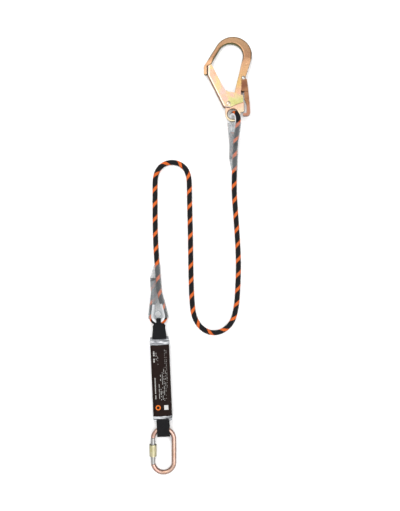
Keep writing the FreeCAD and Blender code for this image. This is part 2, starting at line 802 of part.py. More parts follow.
def make_hook():
    make_hook_body()
    make_hook_gate()
    make_lock_lever()
    inside = size("hook_thickness") / 2 + size("gate_side_gap") + size("rivet_play")
    gate_grip = inside + size("gate_sheet")
    lever_grip = inside + size("lever_sheet")
    add_rivet("hook_gate_rivet", *GATE_PIN, size("gate_pin_radius"), gate_grip,
              size("gate_rivet_head"), HOOK)
    add_rivet("hook_lever_rivet", *LEVER_PIN, size("lever_pin_radius"), lever_grip,
              size("lever_rivet_head"), HOOK)
    make_gate_spring()
    make_lever_spring()


# ---------------------------------------------------------------- energy absorber
def loop_band(radius, far, near, centre):
    """Webbing laid round a bar along X: a U with its bend at far and its legs back to near."""
    thick = size("webbing_thickness")
    width = vec(size("webbing_width"), 0, 0)
    sign = 1 if far > near else -1
    outlines = []
    for reach in (radius + thick, radius):
        tip = centre + sign * reach
        corners = [(near, -reach), (tip, -reach, reach), (tip, reach, reach), (near, reach)]
        outlines.append(prism(upright(corners), width))
    return outlines[0].cut(outlines[1])


def make_webbing():
    start = -size("pack_start")
    insert = size("loop_insert")
    band = loop_band(UPPER_LOOP, 99.0, start - insert, 0.0)
    half = size("webbing_width") / 2
    throat = size("webbing_throat") / 2
    plan = [
        (-half, start - insert - 1), (half, start - insert - 1), (half, -17.0, 4.0),
        (throat, -9.0, 4.0), (throat, 20.0), (-throat, 20.0), (-throat, -9.0, 4.0), (-half, -17.0, 4.0),
    ]
    tall = vec(0, 0, 4 * UPPER_LOOP)
    add_shape("upper_webbing_loop", band.common(prism(flat(plan), tall)), PACK)

    end = start - size("pack_length")
    radius = size("lower_loop_radius")
    bend = BAR_Y - size("loop_slack") + radius
    add_shape("lower_webbing_loop", loop_band(radius, -999.0, end + insert, bend), PACK)


def make_tear_webbing():
    """Tear webbing folded back and forth inside the pack."""
    pitch = size("tear_pitch")
    thick = size("tear_thickness")
    half = size("tear_width") / 2
    top = -size("pack_start") - size("tear_inset")
    bottom = -size("pack_start") - size("pack_length") + size("tear_inset")
    layers = 5
    pieces = []
    for layer in range(layers):
        z = (layer - (layers - 1) / 2) * pitch
        pieces.append(box_between((-half, bottom, z - thick / 2), (half, top, z + thick / 2)))
    across = vec(2 * half, 0, 0)
    for fold in range(layers - 1):
        z = (fold - (layers - 2) / 2) * pitch
        y = top if fold % 2 else bottom
        side = 1 if fold % 2 else -1
        outer = cylinder((pitch + thick) / 2, 2 * half, vec(-half, y, z), X_AXIS)
        inner = cylinder((pitch - thick) / 2, 2 * half, vec(-half, y, z), X_AXIS)
        ring = outer.cut(inner)
        keep = prism(upright([(y, z - pitch), (y + side * pitch, z - pitch),
                              (y + side * pitch, z + pitch), (y, z + pitch)]), across)
        pieces.append(ring.common(keep))
    add_shape("tear_webbing", pieces[0].multiFuse(pieces[1:]).removeSplitter(), PACK)


def wrap(length_low, length_high, inset, wall):
    """A thin rounded tube round the pack, set in from the pack's outside."""
    solids = []
    for grow in (inset, inset + wall):
        half = size("pack_width") / 2 - grow
        high = size("pack_thickness") / 2 - grow
        corner = size("pack_corner") - grow
        outline = [(-half, 0.0, -high, corner), (half, 0.0, -high, corner),
                   (half, 0.0, high, corner), (-half, 0.0, high, corner)]
        solid = prism(outline, vec(0, length_high - length_low, 0))
        solid.translate(vec(0, (length_low + length_high) / 2, 0))
        solids.append(solid)
    return solids[0].cut(solids[1])


def make_cover():
    top = -size("pack_start")
    bottom = top - size("pack_length")
    margin = size("label_margin")
    film = size("film_wall")
    add_shape("absorber_cover", wrap(bottom, top, 0.0, film), PACK)
    label = wrap(bottom + margin, top - margin, film + 0.05, size("label_wall"))
    add_shape("absorber_label", label, PACK)


def make_tack(label, y, z_low, z_high):
    """Rows of sewing across the webbing, on both sides of the pack's middle."""
    half = size("webbing_width") / 2 - size("tack_margin")
    rows = 4
    stitches = []
    for side in (1, -1):
        for row in range(rows):
            row_y = y - size("tack_pitch") * row
            z = sorted((side * z_low, side * z_high))
            low = (-half, row_y - size("tack_row"), z[0])
            stitches.append(box_between(low, (half, row_y, z[1])))
    add_shape(label, Part.Compound(stitches), PACK)


def make_absorber():
    make_webbing()
    make_tear_webbing()
    make_cover()
    outside = UPPER_LOOP + size("webbing_thickness")
    stack = 2 * size("tear_pitch") + size("tear_thickness") / 2
    start = -size("pack_start")
    make_tack("upper_loop_stitching", start - 5.0, outside, outside + size("tack_height"))
    end = start - size("pack_length") + size("loop_insert")
    make_tack("lower_loop_stitching", end - 5.0, stack + 0.1, size("lower_loop_radius"))


# ---------------------------------------------------------------- carabiner
LEG_X = -size("bend_radius")
FLUTES = 20
COLLAR_OUTSIDE = "Sizes.bar_radius + Sizes.collar_gap + Sizes.collar_wall"


def make_carabiner_body():
    """Round bar bent to an oval, open on the gate's side, with a nose and a hinge tongue."""
    bar = size("bar_radius")
    bend = size("bend_radius")
    leg = size("half_leg")
    top = size("gate_top")
    hinge = size("hinge_height")
    upper = Part.makeTorus(bend, bar, vec(0, leg), Z_AXIS, -180, 180, 172)
    lower = Part.makeTorus(bend, bar, vec(0, -leg), Z_AXIS, -180, 180, 169)
    lower.rotate(vec(0, -leg), Z_AXIS, -169)
    right = cylinder(bar, 2 * leg, vec(bend, -leg), Y_AXIS)
    thin = size("tongue_half")
    tongue = box_between((LEG_X - 3.6, top - 6.5, -thin), (LEG_X + 3.6, leg + 8.0, thin))
    pin_y = top - size("latch_drop")
    clear = size("latch_pin_radius") + 0.5
    notch = cylinder(clear, 12, vec(LEG_X, pin_y, -6), Z_AXIS)
    notch = notch.fuse(box_between((LEG_X, pin_y - clear, -6), (LEG_X + 9, pin_y + clear, 6)))
    ear = cylinder(bar - 0.4, 2 * thin, vec(LEG_X, hinge, -thin), Z_AXIS)
    stem = box_between((LEG_X - bar + 1.0, -leg - 8.0, -thin), (LEG_X + bar - 1.2, hinge, thin))
    hole = cylinder(size("carabiner_pin_radius"), 12, vec(LEG_X, hinge, -6), Z_AXIS)
    solid = upper.multiFuse([lower, right, tongue.cut(notch), ear, stem]).cut(hole)
    add_shape("carabiner_body", solid.removeSplitter(), CARABINER)


def make_carabiner_gate():
    """Gate tube with a slot for the nose, two ears at the hinge and a bore for its spring."""
    bar = size("bar_radius")
    hinge = size("hinge_height")
    top = size("gate_top")
    tube = cylinder(bar, top - hinge, vec(LEG_X, hinge), Y_AXIS)
    heel = cylinder(bar, 2 * bar, vec(LEG_X, hinge, -bar), Z_AXIS)
    round_bar = cylinder(bar, 2 * bar, vec(LEG_X, hinge - bar), Y_AXIS)
    tube = tube.fuse(heel.common(round_bar))
    slot = size("slot_half")
    nose_slot = box_between((LEG_X - 9, top - 7.5, -slot), (LEG_X + 9, top + 1, slot))
    heel_slot = box_between((LEG_X - 9, hinge - 9, -slot), (LEG_X + 9, hinge + bar, slot))
    bore_start = vec(LEG_X, hinge + bar - 1)
    bore = cylinder(size("plunger_bore"), size("plunger_bore_depth"), bore_start, Y_AXIS)
    pin_y = top - size("latch_drop")
    latch = cylinder(size("latch_pin_radius"), 12, vec(LEG_X, pin_y, -6), Z_AXIS)
    rivet = cylinder(size("carabiner_pin_radius") + size("running_gap"), 12, vec(LEG_X, hinge, -6), Z_AXIS)
    solid = tube.cut(nose_slot.multiFuse([heel_slot, bore, latch, rivet]))
    add_shape("carabiner_gate", solid.removeSplitter(), CARABINER)


def make_carabiner_pins():
    bar = size("bar_radius")
    hinge = size("hinge_height")
    top = size("gate_top")
    grip = bar - 0.6
    latch_radius = size("latch_pin_radius")
    latch = cylinder(latch_radius, 2 * grip, vec(LEG_X, top - size("latch_drop"), -grip), Z_AXIS)
    add_shape("carabiner_latch_pin", latch, CARABINER)
    rivet = cylinder(size("carabiner_pin_radius"), 2 * bar, vec(LEG_X, hinge, -bar), Z_AXIS)
    add_shape("carabiner_gate_rivet", rivet, CARABINER)
    base = hinge + bar
    head_height = size("plunger_head_height")
    plunger = cylinder(size("plunger_stem"), size("plunger_length"), vec(LEG_X, base), Y_AXIS)
    plunger = plunger.fuse(cylinder(size("plunger_head"), head_height, vec(LEG_X, base), Y_AXIS))
    add_shape("carabiner_gate_plunger", plunger.removeSplitter(), CARABINER)
    wire = size("plunger_wire")
    helix = Part.makeHelix(size("plunger_spring_pitch"), size("plunger_spring_length"), size("plunger_coil"))
    first = helix.Edges[0]
    start = first.valueAt(first.FirstParameter)
    along = first.tangentAt(first.FirstParameter)
    section = Part.Wire(Part.Circle(start, along, wire).toShape())
    spring = Part.Wire(helix.Edges).makePipeShell([section], True, True)
    spring.rotate(vec(0, 0), X_AXIS, -90)
    spring.translate(vec(LEG_X, base + head_height + wire + size("running_gap")))
    add_shape("carabiner_gate_spring", spring, CARABINER)


def make_collar():
    """Knurled screw collar on the gate tube, bored wider where it screws over the nose."""
    middle = size("collar_top") - size("collar_length") / 2
    shift = FreeCAD.Placement(vec(0, middle), FreeCAD.Rotation())
    body = add_body("carabiner_screw_collar", CARABINER.multiply(shift))
    pad(body, circle_sketch(body, "XZ_Plane", LEG_X, 0, COLLAR_OUTSIDE), "Sizes.collar_length")
    bore = circle_sketch(body, "XZ_Plane", LEG_X, 0, "Sizes.bar_radius + Sizes.collar_gap")
    pocket(body, bore, "Sizes.collar_length * 2")
    mouth = circle_sketch(body, "XZ_Plane", LEG_X, 0, "Sizes.bar_radius + Sizes.collar_mouth_gap")
    mouth.setExpression("AttachmentOffset.Base.z", "-Sizes.collar_length / 2")
    pocket(body, mouth, "Sizes.collar_mouth_depth * 2")
    reach = size("bar_radius") + size("collar_gap") + size("collar_wall") + size("flute_radius") / 2
    flutes = []
    for number in range(FLUTES):
        angle = 2 * math.pi * number / FLUTES
        centre = vec(LEG_X + reach * math.cos(angle), reach * math.sin(angle))
        flutes.append(Part.Circle(centre, Z_AXIS, size("flute_radius")))
    pocket(body, sketch_on(body, "XZ_Plane", flutes), "Sizes.collar_length - 5")


def make_carabiner():
    make_carabiner_body()
    make_carabiner_gate()
    make_carabiner_pins()
    make_collar()


# ---------------------------------------------------------------- build, check, write
def check_document():
    for item in doc.Objects:
        if "Invalid" in item.State or "Error" in item.State:
            raise RuntimeError(f"{item.Label} failed to build")
    for label in PLACES:
        shape = doc.getObjectsByLabel(label)[0].Shape
        if shape.isNull() or not shape.isValid():
            raise RuntimeError(f"{label} has no valid shape")


def main():
    make_eye("hook_end", size("hook_eye_length"), HOOK_END)
    make_sleeve("hook_end", size("hook_sleeve_mouth"), size("hook_sleeve_window"),
                size("hook_sleeve_end"), HOOK_END)
    make_eye("absorber_end", size("absorber_eye_length"), ABSORBER_END)
    make_sleeve("absorber_end", size("absorber_sleeve_mouth"), size("absorber_sleeve_window"),
                size("absorber_sleeve_end"), ABSORBER_END)
    make_free_rope()
    make_hook()
    make_absorber()
    make_carabiner()
    doc.recompute()
    for label, place in PLACES.items():
        doc.getObjectsByLabel(label)[0].Placement = place
    doc.recompute()
    check_document()
    os.makedirs("parts", exist_ok=True)
    for label in PLACES:
        doc.getObjectsByLabel(label)[0].Shape.exportStep(f"parts/{label}.step")
    print(len(PLACES), "sub-parts written")


main()
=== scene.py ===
"""Looks for the shock absorbing lanyard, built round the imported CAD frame. Lengths in metres."""

import math

import bpy
from mathutils import Matrix, Vector, noise


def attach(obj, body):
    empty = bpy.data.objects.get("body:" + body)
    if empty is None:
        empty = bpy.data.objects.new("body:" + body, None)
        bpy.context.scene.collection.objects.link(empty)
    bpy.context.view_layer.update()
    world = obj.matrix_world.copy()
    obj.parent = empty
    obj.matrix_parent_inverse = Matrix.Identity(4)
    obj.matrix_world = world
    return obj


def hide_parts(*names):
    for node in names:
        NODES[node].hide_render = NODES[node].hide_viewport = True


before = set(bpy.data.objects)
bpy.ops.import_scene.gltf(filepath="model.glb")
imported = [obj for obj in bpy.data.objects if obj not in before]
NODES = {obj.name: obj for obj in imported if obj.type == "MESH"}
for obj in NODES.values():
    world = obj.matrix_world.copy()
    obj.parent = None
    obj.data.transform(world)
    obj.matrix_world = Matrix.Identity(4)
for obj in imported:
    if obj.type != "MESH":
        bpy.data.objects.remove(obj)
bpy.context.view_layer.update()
MM = 0.001


# ---------------------------------------------------------------- places, as in the CAD
def turn(angle, axis):
    return Matrix.Rotation(math.radians(angle), 4, axis)


def placed(origin, rotation):
    return Matrix.Translation(Vector(origin) * MM) @ rotation


HOOK_BEND = Vector((73.1, 291.8, 21.6))
HINGE = Vector((-91.0, -146.3, 12.5))
HOOK_END_TURN = turn(-1.3, "Z") @ turn(6.4, "X") @ turn(-61.0, "Y")
HOOK_END = placed(HOOK_BEND, HOOK_END_TURN)
ABSORBER_END_TURN = turn(4.4, "Z") @ turn(180 - 2.4, "X")
ABSORBER_END = placed(HINGE - ABSORBER_END_TURN @ Vector((0, 15.0, 0)), ABSORBER_END_TURN)
PACK = placed(HINGE, turn(2.5, "Z"))

# the free rope's route, as in part.py
ROUTE = [
    (73.32, 179.81, 14.06), (72.6, 147.0, 10.2), (74.9, 112.0, 6.6), (78.7, 62.0, 5.5),
    (83.0, -8.0, 5.5), (81.6, -66.0, 5.5), (78.5, -112.0, 5.5), (69.0, -149.0, 5.5),
    (40.0, -170.5, 5.5), (8.0, -166.0, 5.5), (-14.5, -138.0, 5.5), (-19.5, -98.0, 5.5),
    (-21.4, -30.0, 5.5), (-22.2, 40.0, 5.5), (-24.3, 124.0, 5.5), (-25.0, 181.6, 5.5),
    (-46.9, 203.2, 5.5), (-77.7, 203.2, 5.5), (-99.4, 181.3, 5.5), (-99.7, 130.0, 5.5),
    (-99.4, 66.0, 5.5), (-98.0, 20.0, 5.7), (-95.37, -15.26, 7.01),
]
ROPE_RADIUS = 5.5 * MM
ROPE_PITCH = 32.5 * MM
STRIPE_SHARE = 0.27

# sewn eyes, in mm: each leg from the middle, the points round the bend, the free rope's start,
# the sleeve's outside and the radius of its window's rim
LEG = 5.7
BEND_POINTS = 15.66
HOOK_EYE_LENGTH = 112.1
ABSORBER_EYE_LENGTH = 116.1
SLEEVE_HIGH = 7.55
WINDOW_RADIUS = 7.25

# absorber pack, its bare film bands and its webbing loops, in mm; heights from the hinge line
PACK_TOP = -30.7
PACK_LENGTH = 181.6
PACK_BOTTOM = PACK_TOP - PACK_LENGTH
PACK_WIDTH = 42.7
PACK_HEIGHT = 25.0
PACK_CORNER = 8.0
BAND_LOW = 11.3
BAND_HIGH = 16.0
WEBBING = 27.0
BUNCHED = 9.6
UPPER_LOOP = 9.8
LOWER_LOOP = 10.6


# ---------------------------------------------------------------- camera, floor, light
def add_camera():
    """Straight above; sees 0.557 m to each side of the middle, top to bottom, at 1.5 m."""
    sensor = 24.0
    data = bpy.data.cameras.new("camera")
    data.sensor_fit = "VERTICAL"
    data.sensor_height = sensor
    data.lens = sensor / (2 * 0.557 / 1.5)
    data.clip_end = 20.0
    camera = bpy.data.objects.new("camera", data)
    camera.location = (-0.0014, 0.0, 1.508)
    bpy.context.scene.collection.objects.link(camera)
    bpy.context.scene.camera = camera


def add_world():
    """Grey by height alone: pale backdrop, a dark band for the metal to reflect, bright overhead."""
    bands = ((0.0, 0.66), (0.16, 0.62), (0.27, 0.05), (0.44, 0.08), (0.80, 1.0))
    world = bpy.data.worlds.new("studio")
    bpy.context.scene.world = world
    world.use_nodes = True
    tree = world.node_tree
    back = tree.nodes["Background"]
    coord = tree.nodes.new("ShaderNodeTexCoord")
    split = tree.nodes.new("ShaderNodeSeparateXYZ")
    ramp = tree.nodes.new("ShaderNodeValToRGB")
    tree.links.new(coord.outputs["Generated"], split.inputs[0])
    tree.links.new(split.outputs["Z"], ramp.inputs[0])
    tree.links.new(ramp.outputs[0], back.inputs[0])
    stops = ramp.color_ramp.elements
    while len(stops) < len(bands):
        stops.new(0.5)
    for stop, (position, grey) in zip(stops, bands):
        stop.position = position
        stop.color = (grey, grey, grey, 1.0)
    back.inputs[1].default_value = 1.5


def add_light(name, energy, place, size):
    """A square soft light that faces the object's middle."""
    data = bpy.data.lights.new(name, "AREA")
    data.energy = energy
    data.shape = "RECTANGLE"
    data.size = size
    data.size_y = size
    light = bpy.data.objects.new(name, data)
    light.location = place
    light.rotation_euler = (-Vector(place)).to_track_quat("-Z", "Y").to_euler()
    bpy.context.scene.collection.objects.link(light)


# ---------------------------------------------------------------- materials
class Shader:
    """A node material, written as sums on sockets."""

    def __init__(self, name, base, rough=0.5, metal=0.0, **more):
        self.material = bpy.data.materials.new(name)
        self.material.use_nodes = True
        self.tree = self.material.node_tree
        self.shader = self.tree.nodes["Principled BSDF"]
        self.put("Base Color", (*base, 1.0))
        self.put("Roughness", rough)
        self.put("Metallic", metal)
        for key, value in more.items():
            self.put(key.replace("_", " "), value)

    def put(self, key, value):
        if isinstance(value, bpy.types.NodeSocket):
            self.tree.links.new(value, self.shader.inputs[key])
        else:
            self.shader.inputs[key].default_value = value

    def node(self, kind, output=0, **inputs):
        node = self.tree.nodes.new("ShaderNode" + kind)
        for key, value in inputs.items():
            if key.startswith("set_"):
                setattr(node, key[4:], value)
                continue
            socket = node.inputs[int(key[1:])] if key[1:].isdigit() else node.inputs[key.replace("_", " ")]
            if isinstance(value, bpy.types.NodeSocket):
                self.tree.links.new(value, socket)
            else:
                socket.default_value = value
        return node.outputs[output]

    def math(self, operation, *values):
        named = {f"i{i}": value for i, value in enumerate(values)}
        return self.node("Math", set_operation=operation, **named)

    def uv(self):
        place = self.node("UVMap")
        return self.node("SeparateXYZ", 0, i0=place), self.node("SeparateXYZ", 1, i0=place)

    def ramp(self, value, *stops):
        node = self.tree.nodes.new("ShaderNodeValToRGB")
        self.tree.links.new(value, node.inputs[0])
        elements = node.color_ramp.elements
        while len(elements) < len(stops):
            elements.new(0.5)
        for element, (position, colour) in zip(elements, stops):
            element.position = position
            element.color = (*colour, 1.0)
        return node.outputs[0]

    def mix(self, factor, first, second):
        node = self.tree.nodes.new("ShaderNodeMix")
        node.data_type = "RGBA"
        for index, value in ((0, factor), (6, first), (7, second)):
            if isinstance(value, bpy.types.NodeSocket):
                self.tree.links.new(value, node.inputs[index])
            elif index == 0:
                node.inputs[index].default_value = value
            else:
                node.inputs[index].default_value = (*value, 1.0)
        return node.outputs[2]

    def noise(self, scale, detail=3.0, where=None):
        if where is None:
            where = self.node("TexCoord", 3)
        return self.node("TexNoise", 0, Vector=where, Scale=scale, Detail=detail)

    def bump(self, height, distance, strength):
        return self.node("Bump", Height=height, Distance=distance, Strength=strength)


def rope_material():
    s = Shader("rope", (0.02, 0.02, 0.022), 0.7, Specular_IOR_Level=0.12)
    u, v = s.uv()
    lay = s.math("FRACT", s.math("SUBTRACT", v, u))
    stripe = s.math("LESS_THAN", lay, STRIPE_SHARE)
    right = s.math("MULTIPLY", s.math("SUBTRACT", v, u), 11.0)
    left = s.math("MULTIPLY", s.math("ADD", v, u), 11.0)
    right = s.math("ABSOLUTE", s.math("SINE", s.math("MULTIPLY", right, math.pi)))
    left = s.math("ABSOLUTE", s.math("SINE", s.math("MULTIPLY", left, math.pi)))
    pillow = s.math("POWER", s.math("MULTIPLY", right, left), 0.5)
    yarn = s.math("SINE", s.math("MULTIPLY", s.math("SUBTRACT", v, s.math("MULTIPLY", u, 0.2)), 900.0))
    fuzz = s.noise(900.0, 4.0)
    black = s.mix(fuzz, (0.003, 0.003, 0.003), (0.014, 0.014, 0.016))
    orange = s.mix(fuzz, (0.50, 0.08, 0.012), (0.74, 0.16, 0.03))
    # painted shade: the base colour is darkened in the grooves between the braid's strands, from the same
    # pillow shape as the bump
    shade = s.math("ADD", s.math("MULTIPLY", pillow, 0.45), 0.62)
    colour = s.mix(stripe, black, orange)
    dark = s.mix(shade, (0.0, 0.0, 0.0), colour)
    s.put("Base Color", dark)
    height = s.math("ADD", pillow, s.math("MULTIPLY", yarn, 0.08))
    s.put("Normal", s.bump(height, 0.0006, 0.8))
    return s.material


def thread_material():
    s = Shader("thread", (0.5, 0.52, 0.53), 0.55, Sheen_Weight=0.2)
    tint = s.noise(700.0, 3.0)
    s.put("Base Color", s.mix(tint, (0.12, 0.125, 0.13), (0.34, 0.35, 0.36)))
    s.put("Normal", s.bump(s.noise(2500.0), 0.0002, 0.6))
    return s.material


def thimble_material():
    s = Shader("thimble", (0.6, 0.61, 0.62), 0.42)
    s.put("Base Color", s.mix(s.noise(60.0, 4.0), (0.50, 0.51, 0.53), (0.70, 0.71, 0.72)))
    s.put("Normal", s.bump(s.noise(1800.0), 0.0001, 0.35))
    return s.material


def clear_material(name, tint, low, high, rough):
    s = Shader(name, tint, rough, IOR=1.46, Specular_IOR_Level=0.18)
    facing = s.node("LayerWeight", 1, Blend=0.35)
    cloud = s.noise(35.0, 3.0)
    edge = s.math("MULTIPLY", facing, high - low)
    veil = s.math("MULTIPLY", cloud, 0.06)
    s.put("Alpha", s.math("ADD", s.math("ADD", edge, low), veil))
    s.put("Normal", s.bump(s.noise(140.0, 2.0), 0.0004, 0.25))
    return s.material


def film_material():
    """Shrunk film: nearly clear over the label, silvery and streaked where it is drawn in."""
    s = Shader("film", (0.6, 0.61, 0.63), 0.25, IOR=1.46, Specular_IOR_Level=0.08)
    v = s.uv()[1]
    low = s.math("LESS_THAN", v, (BAND_LOW + 0.1) * MM)
    high = s.math("GREATER_THAN", v, (PACK_LENGTH - BAND_HIGH - 0.4) * MM)
    band = s.math("MAXIMUM", low, high)
    place = s.node("Mapping", Vector=s.node("TexCoord", 3), Scale=(60.0, 420.0, 60.0))
    streak = s.noise(1.0, 4.0, where=place)
    grey = s.ramp(streak, (0.34, (0.07, 0.075, 0.08)), (0.5, (0.30, 0.31, 0.33)), (0.62, (0.75, 0.76, 0.78)))
    s.put("Base Color", s.mix(band, (0.03, 0.03, 0.03), grey))
    s.put("Alpha", s.math("ADD", s.math("MULTIPLY", band, 0.82), 0.02))
    s.put("Normal", s.bump(s.noise(140.0, 2.0), 0.0004, 0.3))
    return s.material


def webbing_material():
    s = Shader("webbing", (0.02, 0.02, 0.022), 0.7, Specular_IOR_Level=0.12)
    u, v = s.uv()
    across = s.math("MULTIPLY", u, 2 * math.pi / (1.3 * MM))
    along = s.math("MULTIPLY", v, 2 * math.pi / (1.7 * MM))
    warp = s.math("SINE", across)
    weft = s.math("SINE", s.math("ADD", along, s.math("MULTIPLY", s.math("SIGN", warp), math.pi / 2)))
    weave = s.math("ADD", s.math("ABSOLUTE", warp), s.math("MULTIPLY", weft, 0.5))
    fuzz = s.noise(1500.0, 3.0)
    s.put("Base Color", s.mix(fuzz, (0.003, 0.003, 0.0035), (0.016, 0.016, 0.018)))
    s.put("Normal", s.bump(weave, 0.0003, 0.8))
    return s.material


def label_material():
    """A dark wrap with greeked columns of fine print, a plain ring and a plain square."""
    s = Shader("label", (0.02, 0.015, 0.013), 0.5, Specular_IOR_Level=0.08)
    u, v = s.uv()

    def span(value, low, high):
        return s.math("MULTIPLY", s.math("GREATER_THAN", value, low), s.math("LESS_THAN", value, high))

    def column(x, low, high, half, word, share):
        """One line of print along the pack, broken into uneven words."""
        inside = s.math("MULTIPLY", span(u, (x - half) * MM, (x + half) * MM), span(v, low * MM, high * MM))
        cell = s.math("DIVIDE", v, word * MM)
        seed = s.math("ADD", s.math("FLOOR", cell), x)
        chance = s.node("TexWhiteNoise", 0, set_noise_dimensions="1D", W=seed)
        drawn = s.math("LESS_THAN", chance, share)
        gap = s.math("LESS_THAN", s.math("FRACT", cell), 0.8)
        return s.math("MULTIPLY", inside, s.math("MULTIPLY", drawn, gap))

    columns = (
        (-13.0, 117, 141, 1.5, 4.5, 0.9), (-8.2, 122, 138, 0.5, 1.7, 0.7), (-4.9, 112, 138, 0.4, 1.6, 0.4),
        (-12.6, 36, 84, 1.0, 2.9, 0.92), (-4.4, 36, 72, 0.7, 2.0, 0.75), (-0.6, 34, 90, 0.7, 2.2, 0.55),
        (3.2, 36, 96, 0.5, 1.9, 0.6), (6.6, 34, 104, 0.5, 1.7, 0.5), (10.2, 38, 144, 0.4, 1.8, 0.45),
    )
    white = column(13.4, 60, 146, 0.4, 1.6, 0.5)
    for values in columns:
        white = s.math("MAXIMUM", white, column(*values))

    def disc(x, y, radius):
        dx = s.math("SUBTRACT", u, x)
        dy = s.math("SUBTRACT", v, y)
        square = s.math("ADD", s.math("MULTIPLY", dx, dx), s.math("MULTIPLY", dy, dy))
        return s.math("LESS_THAN", square, radius * radius)

    ring = s.math("SUBTRACT", disc(-8.5 * MM, 19 * MM, 5.6 * MM), disc(-8.5 * MM, 19 * MM, 3.2 * MM))
    square = s.math("MULTIPLY", span(u, 4.5 * MM, 13.5 * MM), span(v, 14 * MM, 24 * MM))
    colour = s.mix(s.noise(80.0, 4.0), (0.005, 0.0015, 0.001), (0.014, 0.006, 0.004))
    colour = s.mix(s.math("MULTIPLY", white, 0.6), colour, (0.62, 0.62, 0.60))
    colour = s.mix(square, colour, (0.50, 0.50, 0.49))
    colour = s.mix(ring, colour, (0.62, 0.15, 0.02))
    s.put("Base Color", colour)
    s.put("Normal", s.bump(s.noise(300.0, 3.0), 0.0003, 0.3))
    return s.material


DIM = 0.42  # share of black in every plated colour, for the bright studio


def wall_shade_factor(s, low, high):
    """0 on faces that look straight up or down, 1 on side walls, smooth over rounded edges: the mask for
    painted dark reflection.
    """
    level = s.math("ABSOLUTE", s.node("SeparateXYZ", 2, i0=s.node("TexCoord", 1)))
    return s.node("MapRange", 0, Value=level, From_Min=high, From_Max=low, To_Min=0.0, To_Max=1.0)


def zinc_material(name, tones, rough=0.28, scale=22.0, edge=(0.35, 0.97), wall_shade_depth=0.8):
    """Iridescent plating: drifting colours, with painted dark reflection on rounded edges and side walls."""
    s = Shader(name, tones[1], rough, 0.85)
    drift = s.noise(scale)
    colour = s.ramp(drift, (0.34, tones[0]), (0.45, tones[1]), (0.55, tones[2]), (0.66, tones[3]))
    fine = s.noise(260.0, 5.0)
    colour = s.mix(s.math("MULTIPLY", fine, 0.3), colour, tones[1])
    # painted dark reflection: side walls and rounded edges drift towards the fifth tone
    colour = s.mix(s.math("MULTIPLY", wall_shade_factor(s, *edge), wall_shade_depth), colour, tones[4])
    s.put("Base Color", s.mix(DIM, colour, (0.0, 0.0, 0.0)))
    rough_map = s.math("ADD", s.math("MULTIPLY", s.noise(120.0, 4.0), 0.2), rough - 0.08)
    s.put("Roughness", rough_map)
    s.put("Normal", s.bump(s.noise(600.0, 4.0), 0.00012, 0.5))
    return s.material


def hook_material():
    """The forging: pale at the eye, pink and yellow along the spine, copper brown round the bow; painted
    dark reflection on its side walls and rounded edges.
    """
    s = Shader("hook_zinc", (0.7, 0.5, 0.3), 0.28, 0.88)
    place = s.node("TexCoord", 3)
    along = s.node("SeparateXYZ", 1, i0=place)
    across = s.node("SeparateXYZ", 0, i0=place)
    height = s.math("MULTIPLY", s.math("SUBTRACT", along, 0.288), 1 / 0.19)
    height = s.math("ADD", height, s.math("MULTIPLY", s.math("SUBTRACT", s.noise(26.0, 3.0), 0.5), 0.34))
    colour = s.ramp(
        height, (0.02, (0.84, 0.72, 0.50)), (0.14, (0.82, 0.54, 0.38)), (0.30, (0.80, 0.44, 0.34)),
        (0.44, (0.74, 0.48, 0.17)), (0.62, (0.72, 0.40, 0.22)), (0.76, (0.44, 0.22, 0.12)),
        (0.98, (0.50, 0.29, 0.16)),
    )
    fine = s.noise(240.0, 5.0)
    colour = s.mix(s.math("MULTIPLY", fine, 0.2), colour, (0.70, 0.50, 0.26))
    # painted dark reflection: side walls and rounded edges go dark olive towards smaller x and dark brown
    # towards larger x, weaker low on the hook
    inward = s.node("MapRange", 0, Value=across, From_Min=0.075, From_Max=0.10, To_Min=0.0, To_Max=1.0)
    painted_wall_shade = s.mix(inward, (0.11, 0.13, 0.025), (0.06, 0.045, 0.012))
    factor = s.math("MULTIPLY", wall_shade_factor(s, 0.55, 0.96), 0.95)
    low = s.node("MapRange", 0, Value=along, From_Min=0.325, From_Max=0.36, To_Min=0.35, To_Max=1.0)
    colour = s.mix(s.math("MULTIPLY", factor, low), colour, painted_wall_shade)
    s.put("Base Color", s.mix(DIM, colour, (0.0, 0.0, 0.0)))
    s.put("Roughness", s.math("ADD", s.math("MULTIPLY", s.noise(110.0, 4.0), 0.2), 0.18))
    s.put("Normal", s.bump(s.noise(500.0, 4.0), 0.00015, 0.5))
    return s.material


